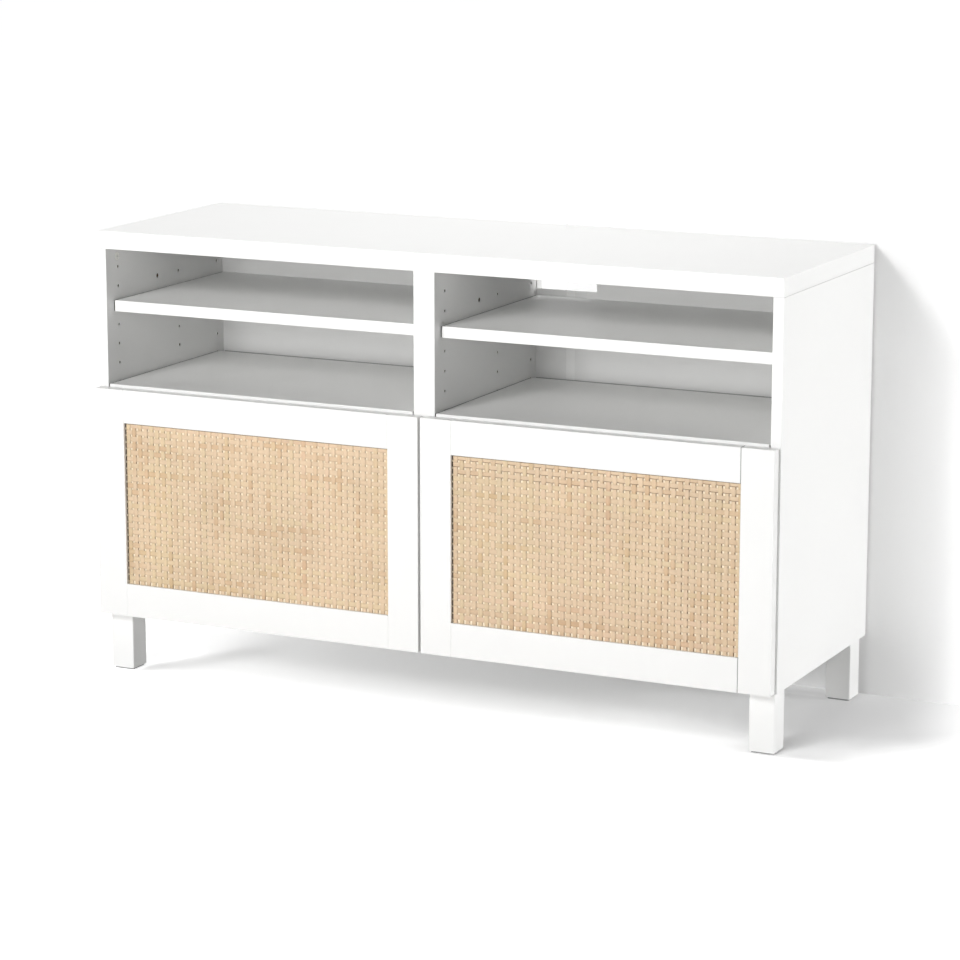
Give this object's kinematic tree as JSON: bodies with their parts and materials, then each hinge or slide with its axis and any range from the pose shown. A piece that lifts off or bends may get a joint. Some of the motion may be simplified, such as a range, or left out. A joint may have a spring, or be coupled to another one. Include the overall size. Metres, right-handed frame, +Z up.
{
  "type": "tv bench",
  "caption": "Low white bench on square legs, with open shelves and cable outlets above push-open drawers that have woven framed fronts.",
  "frame": {"origin": "on the floor, under the middle of the bench's outer box", "axes": "+X to the right along the width, -Y out of the drawer fronts, +Z up"},
  "size_m": [1.2, 0.42, 0.74],
  "materials": {
    "white_lacquer": "white lacquered board, satin",
    "leg_white": "white painted solid wood, satin",
    "back_white": "white foil on thin fibreboard, matt",
    "drawer_white": "white foil on board, matt",
    "woven_cane": "woven split cane, clear",
    "cream_backing": "cream painted thin fibreboard, matt",
    "beech": "plain beech",
    "zinc": "die-cast zinc, dull",
    "steel": "zinc-plated steel",
    "runner_steel": "zinc-plated rolled strip",
    "cage_steel": "bright steel",
    "glide_grey": "grey moulded plastic",
    "opener_grey": "light grey moulded plastic",
    "plunger_white": "white moulded plastic"
  },
  "bodies": {
    "carcass": {"top_panel": "white_lacquer", "bottom_panel": "white_lacquer", "left_side": "white_lacquer", "right_side": "white_lacquer", "centre_partition": "white_lacquer", "left_middle_shelf": "white_lacquer", "right_middle_shelf": "white_lacquer", "left_adjustable_shelf": "white_lacquer", "right_adjustable_shelf": "white_lacquer", "left_back_panel": "back_white", "right_back_panel": "back_white", "shelf_supports": "zinc", "cam_locks": "zinc", "cam_bolts": "steel", "wood_dowels": "beech", "carcass_screws": "steel", "front_left_leg": "leg_white", "front_right_leg": "leg_white", "back_left_leg": "leg_white", "back_right_leg": "leg_white", "leg_bolts": "steel", "leg_glides": "glide_grey", "wall_brackets": "zinc", "left_cabinet_rails": "runner_steel", "right_cabinet_rails": "runner_steel", "push_openers": "opener_grey"},
    "left_drawer": {"left_drawer_outer_stile": "white_lacquer", "left_drawer_inner_stile": "white_lacquer", "left_drawer_top_rail": "white_lacquer", "left_drawer_bottom_rail": "white_lacquer", "left_drawer_woven_panel": "woven_cane", "left_drawer_backing_board": "cream_backing", "left_drawer_box_front": "drawer_white", "left_drawer_box_back": "drawer_white", "left_drawer_box_outer_side": "drawer_white", "left_drawer_box_inner_side": "drawer_white", "left_drawer_box_bottom": "drawer_white", "left_drawer_rails": "runner_steel", "left_drawer_screws": "steel"},
    "left_middle_members": {"left_middle_rails": "runner_steel"},
    "left_outer_cages": {"left_outer_ball_cages": "cage_steel"},
    "left_inner_cages": {"left_inner_ball_cages": "cage_steel"},
    "left_plunger": {"left_push_plunger": "plunger_white"},
    "right_drawer": {"right_drawer_outer_stile": "white_lacquer", "right_drawer_inner_stile": "white_lacquer", "right_drawer_top_rail": "white_lacquer", "right_drawer_bottom_rail": "white_lacquer", "right_drawer_woven_panel": "woven_cane", "right_drawer_backing_board": "cream_backing", "right_drawer_box_front": "drawer_white", "right_drawer_box_back": "drawer_white", "right_drawer_box_outer_side": "drawer_white", "right_drawer_box_inner_side": "drawer_white", "right_drawer_box_bottom": "drawer_white", "right_drawer_rails": "runner_steel", "right_drawer_screws": "steel"},
    "right_middle_members": {"right_middle_rails": "runner_steel"},
    "right_outer_cages": {"right_outer_ball_cages": "cage_steel"},
    "right_inner_cages": {"right_inner_ball_cages": "cage_steel"},
    "right_plunger": {"right_push_plunger": "plunger_white"}
  },
  "joints": [
    {"name": "left_drawer_slide", "type": "slide", "parent": "carcass", "child": "left_drawer", "axis": [0, -1, 0], "range_m": [-0.0015, 0.29]},
    {"name": "left_middle_members_slide", "type": "slide", "parent": "carcass", "child": "left_middle_members", "axis": [0, -1, 0], "range_m": [-0.0008, 0.14505]},
    {"name": "left_outer_cages_slide", "type": "slide", "parent": "carcass", "child": "left_outer_cages", "axis": [0, -1, 0], "range_m": [-0.0004, 0.07253]},
    {"name": "left_inner_cages_slide", "type": "slide", "parent": "carcass", "child": "left_inner_cages", "axis": [0, -1, 0], "range_m": [-0.0012, 0.21757]},
    {"name": "left_plunger_slide", "type": "slide", "parent": "carcass", "child": "left_plunger", "axis": [0, -1, 0], "range_m": [-0.0002, 0.022]},
    {"name": "right_drawer_slide", "type": "slide", "parent": "carcass", "child": "right_drawer", "axis": [0, -1, 0], "range_m": [-0.0015, 0.29]},
    {"name": "right_middle_members_slide", "type": "slide", "parent": "carcass", "child": "right_middle_members", "axis": [0, -1, 0], "range_m": [-0.0008, 0.14505]},
    {"name": "right_outer_cages_slide", "type": "slide", "parent": "carcass", "child": "right_outer_cages", "axis": [0, -1, 0], "range_m": [-0.0004, 0.07253]},
    {"name": "right_inner_cages_slide", "type": "slide", "parent": "carcass", "child": "right_inner_cages", "axis": [0, -1, 0], "range_m": [-0.0012, 0.21757]},
    {"name": "right_plunger_slide", "type": "slide", "parent": "carcass", "child": "right_plunger", "axis": [0, -1, 0], "range_m": [-0.0002, 0.022]}
  ],
  "couplings": [
    {"joint": "left_middle_members_slide", "follows": "left_drawer_slide", "ratio": 0.5},
    {"joint": "left_outer_cages_slide", "follows": "left_drawer_slide", "ratio": 0.25},
    {"joint": "left_inner_cages_slide", "follows": "left_drawer_slide", "ratio": 0.75},
    {"joint": "left_plunger_slide", "follows": "left_drawer_slide", "ratio": 0.0758},
    {"joint": "right_middle_members_slide", "follows": "right_drawer_slide", "ratio": 0.5},
    {"joint": "right_outer_cages_slide", "follows": "right_drawer_slide", "ratio": 0.25},
    {"joint": "right_inner_cages_slide", "follows": "right_drawer_slide", "ratio": 0.75},
    {"joint": "right_plunger_slide", "follows": "right_drawer_slide", "ratio": 0.0758}
  ]
}
